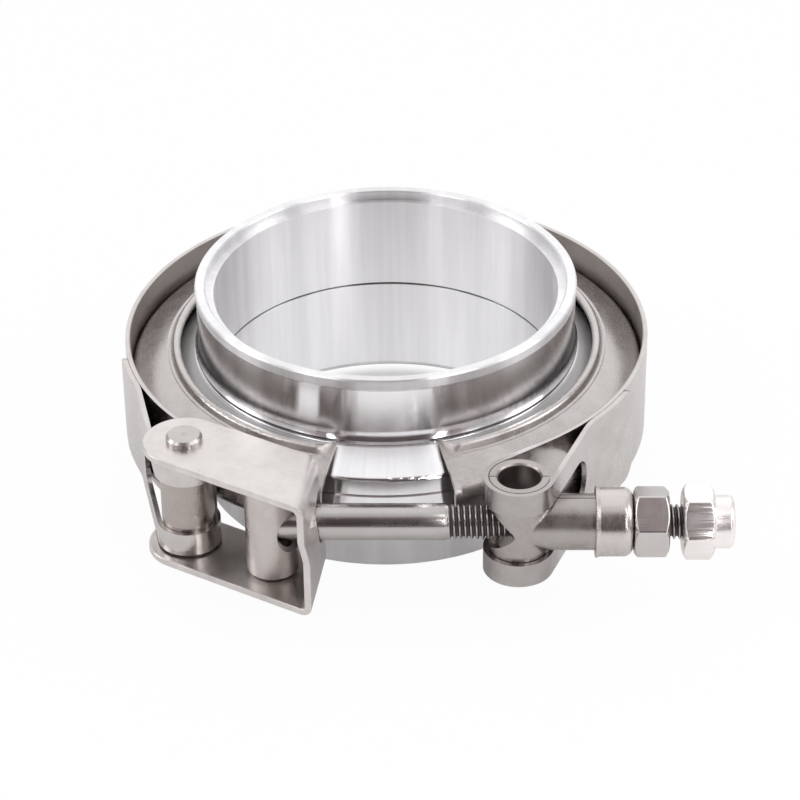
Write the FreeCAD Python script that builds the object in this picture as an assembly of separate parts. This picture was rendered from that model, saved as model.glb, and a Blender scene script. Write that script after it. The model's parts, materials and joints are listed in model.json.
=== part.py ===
"""Quick-release V band clamp, loosely closed round a pair of turned weld flanges.

Frame: origin on the pipe axis at the joint between the two flanges, +Z up along
the pipe, the clamp's T bolt along +X in front of the pipe (at negative Y).
All lengths are millimetres and all angles are degrees.
"""
import FreeCAD, Part
import math
import os
from FreeCAD import Vector

# Pipe and turned flanges
TUBE_OUTER = 76.2
TUBE_WALL = 1.5
SOCKET_CLEARANCE = 0.15
SOCKET_DEPTH = 2.05
FLANGE_HEIGHT = 22.8
NECK_WALL = 3.7
NECK_TOP_FLARE = 0.2
NECK_TOP_FLARE_HEIGHT = 2.6
FOOT_LAND = 0.7
FOOT_LAND_HEIGHT = 0.45
FOOT_FILLET = 3.0
FOOT_GROOVE = 0.4
V_ANGLE = 24.0
RIM_RADIUS = 48.1
RIM_HALF_HEIGHT = 4.1
RIM_CORNER = 0.8
EDGE_BREAK = 0.3

# Band strip, lapped back on itself and spot welded at both ends
BAND_THICKNESS = 1.0
BAND_HALF_WIDTH = 11.0
LAP_GAP = 0.1
TAIL_CORNER = 4.0
REVERSE_BEND = 14.0
WELD_RADIUS = 1.3
WELD_HEIGHT = 5.5
WELD_SPACING = 5.5
WINDOW_HALF_HEIGHT = 5.9
LEFT_WINDOW_CORNER = 3.0
RIGHT_WINDOW_CORNER = 5.6
WINDOW_CUTTER = 1.8

# Retainer channels, roll formed in sheet and welded inside the band
RIM_TO_CHANNEL = 5.45
RETAINER_SHEET = 1.2
RETAINER_BEND = 2.6
RETAINER_SEAT_GAP = 0.05
LEG_RISE = 3.24
LIP_SHARE = 0.5634
LIP_SINK = 0.27
LIP_BEAD = 0.9
LIP_SEAT_GAP = 0.78
VALLEY_SHARE = 0.47
VALLEY_DEPTH = 0.3
CREASE_DEPTH = 5.3
PRESSED_TO_FOOT = 1.6
PRESSED_GAP = 0.45
PRESS_SPAN = 5.0
PRESS_STEPS = 4
PRESSED_BEAD = 0.65
RETAINER_BACK = 90.0
RETAINER_FRONT = 270.0
RETAINER_GAP_LEFT = 13.0
RETAINER_GAP_RIGHT = 15.8
RETAINER_GAP_BACK = 6.0
BOLT_RELIEF = 0.4

# Left loop with the latch pivot
LEFT_AZIMUTH = -130.16
LEFT_STANDOFF = 0.15
LEFT_HEADING = -77.0
LEFT_TAIL_AZIMUTH = 190.3
LEFT_WINDOW_RUN = 16.0
LEFT_WINDOW_START = 30.0
SLEEVE_RADIUS = 5.4
SLEEVE_CLEARANCE = 0.1
SLEEVE_END_PLAY = 0.1
RIVET_RADIUS = 2.5
RIVET_CLEARANCE = 0.1
RIVET_HEAD_RADIUS = 3.68
RIVET_HEAD_HEIGHT = 1.5
RIVET_HEAD_BEVEL = 0.55
RIVET_HEAD_CORNER = 0.5
RIVET_MARK_RADIUS = 0.55
RIVET_MARK_DEPTH = 0.15
RIVET_TAIL_RADIUS = 3.5
RIVET_TAIL_HEIGHT = 1.2

# Latch bracket: a folded U with the bridge across the T bolt
PLATE = 1.5
LATCH_PLAY = 0.5
LATCH_HALF_WIDTH = 8.46
LATCH_ANGLE = -30.4
LATCH_EDGE = 0.3
LATCH_REACH = 28.8
BRIDGE_TILT = -7.0
BRIDGE_JOGGLE = 1.1
JOGGLE_TOP = 4.5
JOGGLE_BOTTOM = 0.0
LATCH_BEND = 1.0
SLOT_HALF_HEIGHT = 4.3
SLOT_MOUTH_FLARE = 1.1
SLOT_MOUTH_DEPTH = 2.2

# T bolt
SHANK_RADIUS = 3.71
THREAD_RADIUS = 3.54
THREAD_START = 13.2
SHANK_CHAMFER = 1.0
BOLT_END_CHAMFER = 0.6
BARREL_RADIUS = 5.3
BARREL_WALL = 1.3
BARREL_PLAY = 0.2
BARREL_EDGE = 0.7
BARREL_TO_BRIDGE = 2.25
MOUTH_OVAL_CENTRE = 6.0
MOUTH_OVAL_DROP = 0.5
MOUTH_OVAL_REACH = 4.6
MOUTH_OVAL_HALF_HEIGHT = 5.0
MOUTH_CLEARANCE = 0.15
BOLT_FIT = 0.05

# Right loop with the trunnion
RIGHT_AZIMUTH = -64.23
RIGHT_STANDOFF = 1.19
RIGHT_HEADING = 68.6
RIGHT_TAIL_AZIMUTH = -24.0
RIGHT_WINDOW_RUN = 20.5
RIGHT_WINDOW_START = 138.0
TRUNNION_RADIUS = 5.96
TRUNNION_CLEARANCE = 0.19
TRUNNION_BORE = 4.25
TRUNNION_BORE_BREAK = 0.35
TRUNNION_SLEEVE_RADIUS = 5.7
TRUNNION_SLEEVE_BORE = 4.1
TRUNNION_SLEEVE_LENGTH = 21.5
SADDLE_FILLET = 1.0
SEAM_WIDTH = 0.25
SEAM_DEPTH = 0.2
MOUTH_HALF_WIDTH = 5.9
MOUTH_HALF_HEIGHT = 5.0

# Cup and nuts
CUP_LENGTH = 7.55
CUP_RADIUS = 6.97
CUP_LIP = 0.35
CUP_LIP_LENGTH = 0.9
CUP_END_WALL = 1.2
CUP_SHOULDER = 2.0
CUP_CLEARANCE = 0.15
CUP_SEAT_GAP = 0.05
CUP_HOLE_CLEARANCE = 0.15
THREAD_FIT = 0.05
NUT_ACROSS_FLATS = 12.7
NUT_LENGTH = 7.1
NUT_CORNER_ANGLE = 17.7
NUT_CHAMFER_RATIO = 0.94
NUT_SEAT_GAP = 0.05
NUT_SPACING = 2.65
LOCK_NUT_ACROSS_FLATS = 13.35
LOCK_NUT_HEX_LENGTH = 6.3
LOCK_NUT_CORNER_ANGLE = 5.2
COLLAR_RADIUS = 5.35
COLLAR_LENGTH = 3.9
COLLAR_WALL = 0.6
COLLAR_CORNER = 1.0
COLLAR_LIP_RADIUS = 4.3
INSERT_BORE_FIT = 0.03
INSERT_LENGTH = 2.2
INSERT_CLEARANCE = 0.03
BOLT_PROTRUSION = 8.5

# Worked out from the sizes above
TOOL_REACH = 100.0
BORE_RADIUS = TUBE_OUTER / 2 - TUBE_WALL
SOCKET_RADIUS = TUBE_OUTER / 2 + SOCKET_CLEARANCE
NECK_RADIUS = BORE_RADIUS + NECK_WALL
FOOT_RADIUS = NECK_RADIUS + FOOT_LAND
V_SLOPE = math.tan(math.radians(V_ANGLE))
RETAINER_OUTER = RIM_RADIUS + RIM_TO_CHANNEL + RETAINER_SHEET
LIP_RADIUS = FOOT_RADIUS + (RIM_RADIUS - FOOT_RADIUS) * LIP_SHARE
BAND_INNER = RETAINER_OUTER + RETAINER_SEAT_GAP
BAND_MIDDLE = BAND_INNER + BAND_THICKNESS / 2
TAIL_MIDDLE = BAND_MIDDLE + BAND_THICKNESS + LAP_GAP
LEFT_LOOP = SLEEVE_RADIUS + SLEEVE_CLEARANCE + BAND_THICKNESS / 2
RIGHT_LOOP = TRUNNION_RADIUS + TRUNNION_CLEARANCE + BAND_THICKNESS / 2


def polar(radius, azimuth, centre=Vector(0, 0, 0)):
    """Point at a radius and azimuth round a centre."""
    turn = math.radians(azimuth)
    return centre + Vector(radius * math.cos(turn), radius * math.sin(turn), 0)


def heading(azimuth):
    """Unit vector that points along an azimuth."""
    return polar(1, azimuth)


LEFT_PIVOT = polar(BAND_INNER + LEFT_STANDOFF + LEFT_LOOP + BAND_THICKNESS / 2, LEFT_AZIMUTH)
RIGHT_PIVOT = polar(BAND_INNER + RIGHT_STANDOFF + RIGHT_LOOP + BAND_THICKNESS / 2, RIGHT_AZIMUTH)
BOLT_Y = RIGHT_PIVOT.y
CUP_END = RIGHT_PIVOT.x + TRUNNION_SLEEVE_LENGTH + CUP_SEAT_GAP + CUP_END_WALL
NUT_START = CUP_END + NUT_SEAT_GAP
LOCK_NUT_START = NUT_START + NUT_LENGTH + NUT_SPACING
BOLT_END = LOCK_NUT_START + BOLT_PROTRUSION
PLATE_INNER = BAND_HALF_WIDTH + LATCH_PLAY
PLATE_OUTER = PLATE_INNER + PLATE
BRIDGE_NORMAL = heading(BRIDGE_TILT)
BRIDGE_FACE = LEFT_PIVOT.dot(BRIDGE_NORMAL) + LATCH_REACH
BARREL_FACE = BRIDGE_FACE - BRIDGE_JOGGLE - PLATE - BARREL_TO_BRIDGE - BARREL_RADIUS
BARREL = Vector((BARREL_FACE - BOLT_Y * BRIDGE_NORMAL.y) / BRIDGE_NORMAL.x, BOLT_Y, 0)


def cone_height(radius):
    """Height of the flange's V shaped rim, and of its line beyond the rim, at a radius."""
    return RIM_HALF_HEIGHT + (RIM_RADIUS - radius) * V_SLOPE


def rounded_face(corners):
    """Face in the XZ plane from (x, z) corners, each with an optional corner radius."""
    points = [Vector(corner[0], 0, corner[1]) for corner in corners]
    radii = [corner[2] if len(corner) > 2 else 0 for corner in corners]
    entries, exits, middles = [], [], []
    for index, point in enumerate(points):
        before = (points[index - 1] - point).normalize()
        after = (points[(index + 1) % len(points)] - point).normalize()
        half = before.getAngle(after) / 2
        reach = radii[index] / math.tan(half)
        bisector = (before + after).normalize() if radii[index] else Vector()
        entries.append(point + before * reach)
        exits.append(point + after * reach)
        middles.append(point + bisector * radii[index] * (1 / math.sin(half) - 1))
    edges = []
    for index in range(len(points)):
        if radii[index]:
            edges.append(Part.Arc(entries[index], middles[index], exits[index]).toShape())
        following = entries[(index + 1) % len(points)]
        if (following - exits[index]).Length > 1e-6:
            edges.append(Part.makeLine(exits[index], following))
    return Part.Face(Part.Wire(edges))


def turned(corners, direction):
    """Solid of revolution round X or Z from the corners of its half section."""
    return rounded_face(corners).revolve(Vector(0, 0, 0), direction, 360)


def on_bolt(corners):
    """Piece turned round the bolt axis: corners are (x, radius)."""
    return turned(corners, Vector(1, 0, 0)).translated(Vector(0, BOLT_Y, 0))


def post(centre, radius, bottom, top):
    """Upright cylinder."""
    return Part.makeCylinder(radius, top - bottom, Vector(centre.x, centre.y, bottom))


def rod(start, end, radius):
    """Cylinder on the bolt axis from one X to another."""
    return Part.makeCylinder(radius, end - start, Vector(start, BOLT_Y, 0), Vector(1, 0, 0))


def mirrored(shape):
    """The same shape below the joint plane."""
    return shape.mirror(Vector(0, 0, 0), Vector(0, 0, 1))


def upper_flange():
    """Turned weld flange: tube socket, straight neck, grooved foot and V shaped rim."""
    foot = FOOT_RADIUS
    cone_top = cone_height(foot)
    groove_top = cone_top + 2 * FOOT_GROOVE
    land_top = groove_top + FOOT_LAND_HEIGHT
    swing = math.acos(1 - FOOT_LAND / FOOT_FILLET)
    fillet_top = land_top + FOOT_FILLET * math.sin(swing)
    fillet_reach = FOOT_FILLET * math.tan(swing / 2)
    socket_floor = FLANGE_HEIGHT - SOCKET_DEPTH
    flare = NECK_RADIUS + NECK_TOP_FLARE
    flange = turned([
        (BORE_RADIUS + EDGE_BREAK, 0),
        (RIM_RADIUS - EDGE_BREAK, 0),
        (RIM_RADIUS, EDGE_BREAK),
        (RIM_RADIUS, RIM_HALF_HEIGHT, RIM_CORNER),
        (foot, cone_top),
        (foot, land_top),
        (NECK_RADIUS, fillet_top - fillet_reach, FOOT_FILLET),
        (NECK_RADIUS, FLANGE_HEIGHT - NECK_TOP_FLARE_HEIGHT),
        (flare, FLANGE_HEIGHT - EDGE_BREAK),
        (flare - EDGE_BREAK, FLANGE_HEIGHT),
        (SOCKET_RADIUS + EDGE_BREAK, FLANGE_HEIGHT),
        (SOCKET_RADIUS, FLANGE_HEIGHT - EDGE_BREAK),
        (SOCKET_RADIUS, socket_floor),
        (BORE_RADIUS, socket_floor),
        (BORE_RADIUS, EDGE_BREAK),
    ], Vector(0, 0, 1))
    groove = Part.makeTorus(foot, FOOT_GROOVE, Vector(0, 0, cone_top + FOOT_GROOVE))
    return flange.cut(groove)


def blend(start, end, share):
    """Point part of the way from one point to another."""
    return start + (end - start) * share


def retainer_section(share=0):
    """Half section of the channel as two faces: base, bend and leg, and the rolled lip.

    The share says how far the leg and its lip are pressed down on the flange's V."""
    cosine = math.cos(math.radians(V_ANGLE))
    sine = math.sin(math.radians(V_ANGLE))
    bend_top = cone_height(RETAINER_OUTER) + LEG_RISE
    corner = Vector(RETAINER_OUTER, 0, bend_top)
    leg = Vector(-cosine, 0, sine)
    outward = Vector(-sine, 0, cosine)
    inner_corner_rise = RETAINER_SHEET * math.tan(math.radians(45 - V_ANGLE / 2))
    inner = RETAINER_OUTER - RETAINER_SHEET
    crease = corner + leg * (CREASE_DEPTH / cosine)
    leg_length = (crease.x - LIP_RADIUS) / cosine
    pressed_length = (crease.x - FOOT_RADIUS - PRESSED_TO_FOOT) / cosine
    drop = LEG_RISE * cosine - RETAINER_SHEET - PRESSED_GAP
    pressed_angle = math.radians(V_ANGLE) - math.asin(drop / pressed_length) * share
    pressed_leg = Vector(-math.cos(pressed_angle), 0, math.sin(pressed_angle))
    pressed_inward = Vector(-math.sin(pressed_angle), 0, -math.cos(pressed_angle))
    length = leg_length + (pressed_length - leg_length) * share
    tip = crease + pressed_leg * length
    under = tip + pressed_inward * RETAINER_SHEET
    under_crease = crease + Vector(-sine, 0, -cosine) * RETAINER_SHEET
    valley = tip - pressed_leg * length * VALLEY_SHARE
    sink = pressed_inward * VALLEY_DEPTH * (1 - share / 2)
    valley_foot = valley + pressed_leg * VALLEY_DEPTH + sink
    tip_foot = tip + sink
    sheet = rounded_face([
        (RETAINER_OUTER, 0),
        (RETAINER_OUTER, bend_top, RETAINER_BEND),
        (crease.x, crease.z),
        (valley.x, valley.z),
        (valley_foot.x, valley_foot.z),
        (tip_foot.x, tip_foot.z),
        (under.x, under.z),
        (under_crease.x, under_crease.z),
        (inner, bend_top - inner_corner_rise, RETAINER_BEND - RETAINER_SHEET),
        (inner, 0),
    ])
    rolled_top = corner + leg * ((RETAINER_OUTER - LIP_RADIUS) / cosine) - Vector(0, 0, LIP_SINK)
    lip_rise = (rolled_top.z - cone_height(LIP_RADIUS)) * cosine
    hem = (lip_rise - LIP_BEAD - LIP_SEAT_GAP) / math.cos(math.radians(2 * V_ANGLE))
    flat_top = tip + pressed_inward * RETAINER_SHEET / 2
    top = blend(rolled_top, flat_top, share)
    flat_end = flat_top - pressed_leg * length * VALLEY_SHARE
    hem_end = blend(rolled_top - outward * hem, flat_end, share)
    bead = LIP_BEAD + (PRESSED_BEAD - LIP_BEAD) * share
    lip_outward = (top - hem_end).normalize()
    across = Vector(lip_outward.z, 0, -lip_outward.x) * bead
    lip = Part.Face(Part.Wire([
        Part.makeLine(hem_end + across, top + across),
        Part.Arc(top + across, top + lip_outward * bead, top - across).toShape(),
        Part.makeLine(top - across, hem_end - across),
        Part.Arc(hem_end - across, hem_end - lip_outward * bead, hem_end + across).toShape(),
    ]))
    return sheet, lip


def pressed_end(azimuth, way):
    """Last few degrees of a retainer's half at the front gap, where its leg lies down."""
    origin, axis = Vector(0, 0, 0), Vector(0, 0, 1)
    sections = []
    for step in range(PRESS_STEPS + 1):
        part_way = step / PRESS_STEPS
        share = part_way ** 2 * (3 - 2 * part_way)
        turn = azimuth - way * PRESS_SPAN * (1 - part_way)
        sections.append([face.rotated(origin, axis, turn) for face in retainer_section(share)])
    sheets, lips = zip(*sections)
    return [Part.makeLoft([face.OuterWire for face in faces], True) for faces in (sheets, lips)]


def retainer(start, end, front_way):
    """One V channel segment between two azimuths, its front end where front_way leads."""
    origin, axis = Vector(0, 0, 0), Vector(0, 0, 1)
    front = end if front_way > 0 else start
    run_start = start if front_way > 0 else start + PRESS_SPAN
    run = end - start - PRESS_SPAN
    pieces = [face.rotated(origin, axis, run_start).revolve(origin, axis, run)
              for face in retainer_section()]
    pieces += pressed_end(front, front_way)
    half = pieces[0].fuse(pieces[1:])
    channel = half.fuse(mirrored(half)).removeSplitter()
    return channel.cut(rod(-TOOL_REACH, TOOL_REACH, SHANK_RADIUS + BOLT_RELIEF))


def arc_edge(centre, radius, start, end):
    """Flat arc between two angles, either way round."""
    middle = polar(radius, (start + end) / 2, centre)
    return Part.Arc(polar(radius, start, centre), middle, polar(radius, end, centre)).toShape()


def offset_edges(path, side):
    """Edges of a flat path moved sideways, to the left of travel where side is positive."""
    edges = []
    for piece in path:
        if piece[0] == "line":
            start, end = piece[1:]
            along = (end - start).normalize()
            shift = Vector(-along.y, along.x, 0) * side
            edges.append(Part.makeLine(start + shift, end + shift))
        else:
            centre, radius, start, end = piece[1:]
            turn = 1 if end > start else -1
            edges.append(arc_edge(centre, radius - turn * side, start, end))
    return edges


def strip(path, thickness, half_width):
    """Solid strip that follows a flat path, upright and centred on the joint plane."""
    left = offset_edges(path, thickness / 2)
    right = offset_edges(path, -thickness / 2)
    caps = []
    for end in (0, -1):
        place = 0 if end == 0 else 1
        side_points = [edges[end].valueAt(edges[end].ParameterRange[place])
                       for edges in (left, right)]
        caps.append(Part.makeLine(side_points[0], side_points[1]))
    wire = Part.Wire(Part.__sortEdges__(left + right + caps))
    solid = Part.Face(wire).extrude(Vector(0, 0, 2 * half_width))
    return solid.translated(Vector(0, 0, -half_width))


def round_corners(solid, point, half_width, radius):
    """Round the two corners of a strip's end at a point of its path."""
    corners = [point + Vector(0, 0, side * half_width) for side in (-1, 1)]
    edges = [edge for edge in solid.Edges
             if min((edge.CenterOfMass - corner).Length for corner in corners) < 1e-4]
    return solid.makeFillet(radius, edges)


def reverse_bend(pivot, loop, azimuth, way):
    """Centre of the bend that joins a straight beside a loop to the tail on the ring."""
    start = polar(loop, azimuth - 90, pivot)
    direction = heading(azimuth) * way
    base = start + heading(azimuth - 90) * REVERSE_BEND
    reach = TAIL_MIDDLE + REVERSE_BEND
    middle = base.dot(direction)
    run = -middle - math.sqrt(middle ** 2 - base.dot(base) + reach ** 2)
    return base + direction * run


def azimuth_of(point):
    """Azimuth of a point seen from the pipe axis."""
    return math.degrees(math.atan2(point.y, point.x))


def band_path():
    """Middle line of the band, from the left tail round the back to the right tail."""
    origin = Vector(0, 0, 0)
    left_bend = reverse_bend(LEFT_PIVOT, LEFT_LOOP, LEFT_HEADING, -1)
    right_bend = reverse_bend(RIGHT_PIVOT, RIGHT_LOOP, RIGHT_HEADING, 1)
    left_meet = azimuth_of(left_bend) + 360
    right_meet = azimuth_of(right_bend)
    left_lean = math.degrees(math.acos((BAND_MIDDLE + LEFT_LOOP) / LEFT_PIVOT.Length))
    right_lean = math.degrees(math.acos((BAND_MIDDLE + RIGHT_LOOP) / RIGHT_PIVOT.Length))
    ring_start = LEFT_AZIMUTH + 360 - left_lean
    ring_end = RIGHT_AZIMUTH + right_lean
    straight_left = LEFT_HEADING + 90
    straight_right = RIGHT_HEADING + 90
    return [
        ("arc", origin, TAIL_MIDDLE, LEFT_TAIL_AZIMUTH, left_meet),
        ("arc", left_bend, REVERSE_BEND, left_meet - 180, straight_left),
        ("line", polar(REVERSE_BEND, straight_left, left_bend),
         polar(LEFT_LOOP, LEFT_HEADING - 90, LEFT_PIVOT)),
        ("arc", LEFT_PIVOT, LEFT_LOOP, LEFT_HEADING - 90, ring_start - 180),
        ("line", polar(LEFT_LOOP, ring_start - 180, LEFT_PIVOT), polar(BAND_MIDDLE, ring_start)),
        ("arc", origin, BAND_MIDDLE, ring_start, ring_end),
        ("line", polar(BAND_MIDDLE, ring_end), polar(RIGHT_LOOP, ring_end + 180, RIGHT_PIVOT)),
        ("arc", RIGHT_PIVOT, RIGHT_LOOP, ring_end + 180, RIGHT_HEADING - 90 + 360),
        ("line", polar(RIGHT_LOOP, RIGHT_HEADING - 90, RIGHT_PIVOT),
         polar(REVERSE_BEND, straight_right, right_bend)),
        ("arc", right_bend, REVERSE_BEND, straight_right, right_meet + 180),
        ("arc", origin, TAIL_MIDDLE, right_meet, RIGHT_TAIL_AZIMUTH),
    ]


def window(pivot, loop, azimuth, start, run, way, corner_radius):
    """Cutter for a bolt window: part of a loop and the straight after it (way 1) or before it."""
    corner = polar(loop, azimuth - 90, pivot)
    end = corner + heading(azimuth) * run * way
    if way > 0:
        path = [("arc", pivot, loop, start, azimuth + 270), ("line", corner, end)]
    else:
        path = [("line", end, corner), ("arc", pivot, loop, azimuth - 90, start)]
    cutter = strip(path, WINDOW_CUTTER * BAND_THICKNESS, WINDOW_HALF_HEIGHT)
    return round_corners(cutter, end, WINDOW_HALF_HEIGHT, corner_radius)


def clamp_band():
    """Band strip with a loop at each end, bolt windows and spot welded tails."""
    band = strip(band_path(), BAND_THICKNESS, BAND_HALF_WIDTH)
    for azimuth in (LEFT_TAIL_AZIMUTH, RIGHT_TAIL_AZIMUTH):
        band = round_corners(band, polar(TAIL_MIDDLE, azimuth), BAND_HALF_WIDTH, TAIL_CORNER)
    band = band.cut(window(LEFT_PIVOT, LEFT_LOOP, LEFT_HEADING, LEFT_WINDOW_START,
                           LEFT_WINDOW_RUN, -1, LEFT_WINDOW_CORNER))
    band = band.cut(window(RIGHT_PIVOT, RIGHT_LOOP, RIGHT_HEADING, RIGHT_WINDOW_START,
                           RIGHT_WINDOW_RUN, 1, RIGHT_WINDOW_CORNER))
    for azimuth in (LEFT_TAIL_AZIMUTH + WELD_SPACING, RIGHT_TAIL_AZIMUTH - WELD_SPACING):
        for side in (-1, 1):
            foot = polar(BAND_MIDDLE, azimuth) + Vector(0, 0, side * WELD_HEIGHT)
            nugget = Part.makeCylinder(WELD_RADIUS, TAIL_MIDDLE - BAND_MIDDLE, foot, heading(azimuth))
            band = band.fuse(nugget)
    return band


def latch_plan():
    """Outline of the latch seen from above: a round end at the pivot and straight sides."""
    side = polar(LATCH_HALF_WIDTH, LATCH_ANGLE + 90)
    far = polar(2 * LATCH_REACH, LATCH_ANGLE, LEFT_PIVOT)
    wire = Part.Wire([
        Part.makeLine(LEFT_PIVOT - side, far - side),
        Part.makeLine(far - side, far + side),
        Part.makeLine(far + side, LEFT_PIVOT + side),
        arc_edge(LEFT_PIVOT, LATCH_HALF_WIDTH, LATCH_ANGLE + 90, LATCH_ANGLE + 270),
    ])
    prism = Part.Face(wire).extrude(Vector(0, 0, 2 * PLATE_OUTER))
    return prism.translated(Vector(0, 0, -PLATE_OUTER))


def plan_edges(bracket):
    """Edges where the sides of the latch plan meet the faces of the folded sheet."""
    side = heading(LATCH_ANGLE + 90)
    edges = []
    for edge in bracket.Edges:
        offset = (edge.CenterOfMass - LEFT_PIVOT).dot(side)
        along_side = abs(abs(offset) - LATCH_HALF_WIDTH) < 1e-3
        round_end = abs(edge.Length - math.pi * LATCH_HALF_WIDTH) < 1e-3
        crosses = abs(edge.tangentAt(edge.FirstParameter).dot(side)) > 1e-3
        if round_end or along_side and not crosses:
            edges.append(edge)
    return edges


def latch_bracket():
    """Folded U bracket: two plates on the rivet and a joggled, slotted bridge across the bolt."""
    length = LATCH_REACH + 2 * LATCH_HALF_WIDTH
    outer_bend = LATCH_BEND + PLATE
    upper = -BRIDGE_JOGGLE
    section = rounded_face([
        (-length, PLATE_OUTER), (upper, PLATE_OUTER, outer_bend),
        (upper, JOGGLE_TOP, PLATE), (0, JOGGLE_BOTTOM, PLATE),
        (0, -PLATE_OUTER, outer_bend), (-length, -PLATE_OUTER),
        (-length, -PLATE_INNER), (-PLATE, -PLATE_INNER, LATCH_BEND),
        (-PLATE, JOGGLE_BOTTOM, PLATE), (upper - PLATE, JOGGLE_TOP, PLATE),
        (upper - PLATE, PLATE_INNER, LATCH_BEND), (-length, PLATE_INNER),
    ])
    channel = section.extrude(Vector(0, 2 * TOOL_REACH, 0)).translated(Vector(0, -TOOL_REACH, 0))
    channel.rotate(Vector(0, 0, 0), Vector(0, 0, 1), BRIDGE_TILT)
    channel.translate(BRIDGE_NORMAL * BRIDGE_FACE)
    bracket = channel.common(latch_plan())
    bracket = bracket.makeFillet(LATCH_EDGE, plan_edges(bracket))
    slot = rod(BARREL.x, BARREL.x + TOOL_REACH, SLOT_HALF_HEIGHT)
    slot_box = Part.makeBox(TOOL_REACH, TOOL_REACH, 2 * SLOT_HALF_HEIGHT,
                            Vector(BARREL.x, BOLT_Y, -SLOT_HALF_HEIGHT))
    back = LEFT_PIVOT + polar(LATCH_HALF_WIDTH, LATCH_ANGLE + 90)
    mouth_y = back.y + (BARREL.x + PLATE_OUTER - back.x) * math.tan(math.radians(LATCH_ANGLE))
    flare = Part.makePolygon([
        Vector(BARREL.x, mouth_y + y, z) for y, z in (
            (-SLOT_MOUTH_DEPTH, SLOT_HALF_HEIGHT), (0, SLOT_HALF_HEIGHT + SLOT_MOUTH_FLARE),
            (PLATE_OUTER, SLOT_HALF_HEIGHT + SLOT_MOUTH_FLARE),
            (PLATE_OUTER, -SLOT_HALF_HEIGHT - SLOT_MOUTH_FLARE),
            (0, -SLOT_HALF_HEIGHT - SLOT_MOUTH_FLARE), (-SLOT_MOUTH_DEPTH, -SLOT_HALF_HEIGHT),
            (-SLOT_MOUTH_DEPTH, SLOT_HALF_HEIGHT))])
    mouth = Part.Face(flare).extrude(Vector(TOOL_REACH, 0, 0))
    hole = post(LEFT_PIVOT, RIVET_RADIUS, -PLATE_OUTER, PLATE_OUTER)
    return bracket.cut([slot, slot_box, mouth, hole])


def latch_rivet():
    """Pivot rivet: low round head with a bevel and a centre mark, shank and upset tail."""
    top = PLATE_OUTER + RIVET_HEAD_HEIGHT
    tail = -PLATE_OUTER - RIVET_TAIL_HEIGHT
    rivet = turned([
        (0, tail),
        (RIVET_TAIL_RADIUS - RIVET_TAIL_HEIGHT / 2, tail),
        (RIVET_TAIL_RADIUS, -PLATE_OUTER - RIVET_TAIL_HEIGHT / 2),
        (RIVET_TAIL_RADIUS, -PLATE_OUTER),
        (RIVET_RADIUS, -PLATE_OUTER),
        (RIVET_RADIUS, PLATE_OUTER),
        (RIVET_HEAD_RADIUS, PLATE_OUTER),
        (RIVET_HEAD_RADIUS, top - RIVET_HEAD_BEVEL),
        (RIVET_HEAD_RADIUS - RIVET_HEAD_CORNER, top),
        (RIVET_MARK_RADIUS, top),
        (0, top - RIVET_MARK_DEPTH),
    ], Vector(0, 0, 1))
    return rivet.translated(LEFT_PIVOT)


def latch_sleeve():
    """Tube on the rivet that fills the left loop between the latch plates."""
    half = PLATE_INNER - SLEEVE_END_PLAY
    bore = post(LEFT_PIVOT, RIVET_RADIUS + RIVET_CLEARANCE, -half, half)
    return post(LEFT_PIVOT, SLEEVE_RADIUS, -half, half).cut(bore)


def t_bolt_barrel():
    """Cross tube at the head of the T bolt with a wide side mouth for the shank."""
    half = PLATE_INNER - BARREL_PLAY
    bore = BARREL_RADIUS - BARREL_WALL
    barrel = turned([
        (bore, -half),
        (BARREL_RADIUS - BARREL_EDGE, -half),
        (BARREL_RADIUS, -half + BARREL_EDGE),
        (BARREL_RADIUS, half - BARREL_EDGE),
        (BARREL_RADIUS - BARREL_EDGE, half),
        (bore, half),
    ], Vector(0, 0, 1)).translated(BARREL)
    middle = BARREL + Vector(MOUTH_OVAL_CENTRE, -2 * BARREL_RADIUS, -MOUTH_OVAL_DROP)
    oval = Part.Ellipse(middle + Vector(0, 0, MOUTH_OVAL_HALF_HEIGHT),
                        middle + Vector(MOUTH_OVAL_REACH, 0, 0), middle)
    mouth = Part.Face(Part.Wire(oval.toShape())).extrude(Vector(0, 4 * BARREL_RADIUS, 0))
    passage = rod(BARREL.x, BARREL.x + 2 * BARREL_RADIUS, SHANK_RADIUS + MOUTH_CLEARANCE)
    return barrel.cut([mouth, passage])


def t_bolt():
    """Bolt with a plain shank seated in the barrel and the threaded end as its major size."""
    shank_end = THREAD_START - SHANK_CHAMFER
    bolt = on_bolt([
        (BARREL.x - BARREL_RADIUS, 0),
        (BARREL.x - BARREL_RADIUS, SHANK_RADIUS),
        (shank_end, SHANK_RADIUS),
        (THREAD_START, THREAD_RADIUS),
        (BOLT_END - BOLT_END_CHAMFER, THREAD_RADIUS),
        (BOLT_END, THREAD_RADIUS - BOLT_END_CHAMFER),
        (BOLT_END, 0),
    ])
    seat = BARREL_RADIUS - BARREL_WALL - BOLT_FIT
    keep = post(BARREL, seat, -SHANK_RADIUS, SHANK_RADIUS)
    ahead = Part.makeBox(TOOL_REACH, 4 * SHANK_RADIUS, 2 * SHANK_RADIUS,
                         Vector(BARREL.x, BOLT_Y - 2 * SHANK_RADIUS, -SHANK_RADIUS))
    return bolt.common(keep.fuse(ahead))


def seam(start, end, height):
    """Cutters for the fine seam above and below the bolt, at a height each way."""
    above = Part.makeBox(end - start, SEAM_WIDTH, 2 * SEAM_DEPTH,
                         Vector(start, BOLT_Y - SEAM_WIDTH / 2, height - SEAM_DEPTH))
    return [above, mirrored(above)]


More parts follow.
